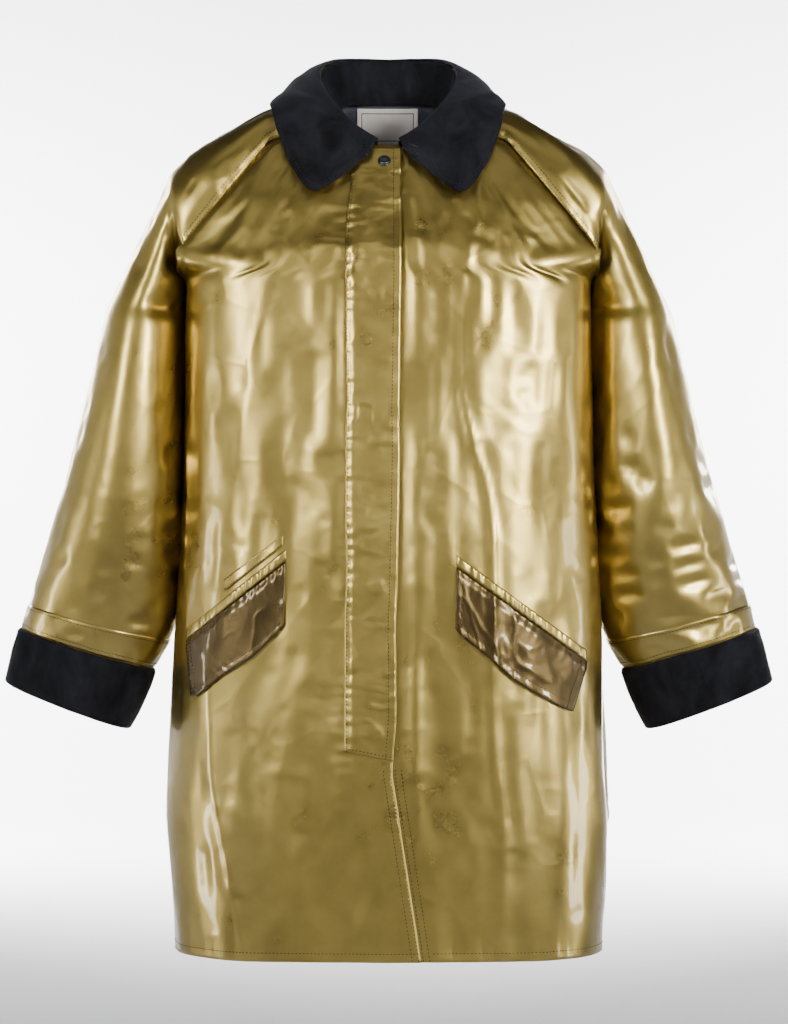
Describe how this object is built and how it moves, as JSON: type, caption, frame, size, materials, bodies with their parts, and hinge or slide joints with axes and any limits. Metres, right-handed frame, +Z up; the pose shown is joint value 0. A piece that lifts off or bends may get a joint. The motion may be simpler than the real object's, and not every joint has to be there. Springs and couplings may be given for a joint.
{
  "type": "raincoat",
  "caption": "Thigh-length gold coated raincoat with raglan sleeves, black velvet collar and turned-back cuffs, hidden snap fly and slanted pocket flaps.",
  "frame": {"origin": "centre of the neck opening, level with the shoulder ends of the collar, where the coat is held", "axes": "+Z up, -Y out of the front of the coat, +X to the wearer's left"},
  "size_m": [0.8168, 0.2619, 0.9456],
  "materials": {
    "gold_coated": "glossy metallic gold vinyl-coated cloth with soft creases",
    "coated_inside": "gold vinyl-coated cloth, turned edges",
    "velvet": "black cotton velvet",
    "lining": "dark navy woven lining",
    "label": "woven off-white label",
    "snap_black": "glossy black lacquered snap cap",
    "snap_metal": "plated pressed metal"
  },
  "bodies": {
    "torso": {"back_panel": "gold_coated", "front_panel_right": "gold_coated", "front_panel_left": "gold_coated", "shoulder_right": "gold_coated", "shoulder_left": "gold_coated", "shoulder_lining_right": "lining", "shoulder_lining_left": "lining", "back_lining": "lining", "front_lining_right": "lining", "front_lining_left": "lining", "chest_lining_right": "lining", "chest_lining_left": "lining", "hem_band_back": "coated_inside", "hem_band_right": "coated_inside", "hem_band_left": "coated_inside", "front_facing_right": "coated_inside", "front_facing_left": "coated_inside", "fly_upper": "gold_coated", "under_placket": "coated_inside", "top_snap_cap": "snap_black", "hidden_snap_caps": "snap_black", "snap_sockets": "snap_metal", "snap_studs": "snap_metal", "collar_stand": "velvet", "collar_back": "velvet", "under_collar_back": "gold_coated", "neck_label": "label", "pocket_strip_right": "gold_coated", "pocket_strip_left": "gold_coated", "pocket_bag_right": "lining", "pocket_bag_left": "lining", "slit_pocket_welt": "gold_coated", "slit_pocket_bag": "lining"},
    "fly": {"fly_strip": "gold_coated"},
    "flap_right": {"pocket_flap_right": "gold_coated", "flap_facing_right": "coated_inside"},
    "flap_left": {"pocket_flap_left": "gold_coated", "flap_facing_left": "coated_inside"},
    "collar_right": {"collar_leaf_right": "velvet", "under_collar_right": "gold_coated"},
    "collar_left": {"collar_leaf_left": "velvet", "under_collar_left": "gold_coated"},
    "sleeve_right": {"sleeve_right": "gold_coated", "sleeve_lining_right": "lining", "sleeve_band_right": "gold_coated", "cuff_right": "velvet"},
    "sleeve_left": {"sleeve_left": "gold_coated", "sleeve_lining_left": "lining", "sleeve_band_left": "gold_coated", "cuff_left": "velvet"}
  },
  "joints": [
    {"name": "fly_lift", "type": "hinge", "parent": "torso", "child": "fly", "pos_m": [-0.044, -0.12005, -0.15], "axis": [0, -0.0227, -0.9997], "range_deg": [0, 75]},
    {"name": "flap_right_lift", "type": "hinge", "parent": "torso", "child": "flap_right", "pos_m": [-0.156, -0.11288, -0.513], "axis": [-0.7448, 0.3168, -0.5873], "range_deg": [0, 90]},
    {"name": "flap_left_lift", "type": "hinge", "parent": "torso", "child": "flap_left", "pos_m": [0.137, -0.11969, -0.527], "axis": [-0.784, -0.238, 0.5734], "range_deg": [0, 90]},
    {"name": "collar_left_lift", "type": "hinge", "parent": "torso", "child": "collar_left", "pos_m": [0.069, 0.022, 0.049], "axis": [-0.3971, -0.6983, -0.5956], "range_deg": [0, 40]},
    {"name": "collar_right_lift", "type": "hinge", "parent": "torso", "child": "collar_right", "pos_m": [-0.069, 0.022, 0.049], "axis": [-0.3971, 0.6983, 0.5956], "range_deg": [0, 40]},
    {"name": "sleeve_left_swing", "type": "hinge", "parent": "torso", "child": "sleeve_left", "pos_m": [0.15, 0, -0.18], "axis": [0, -1, 0], "range_deg": [0, 40]},
    {"name": "sleeve_right_swing", "type": "hinge", "parent": "torso", "child": "sleeve_right", "pos_m": [-0.15, 0, -0.18], "axis": [0, 1, 0], "range_deg": [0, 40]}
  ]
}
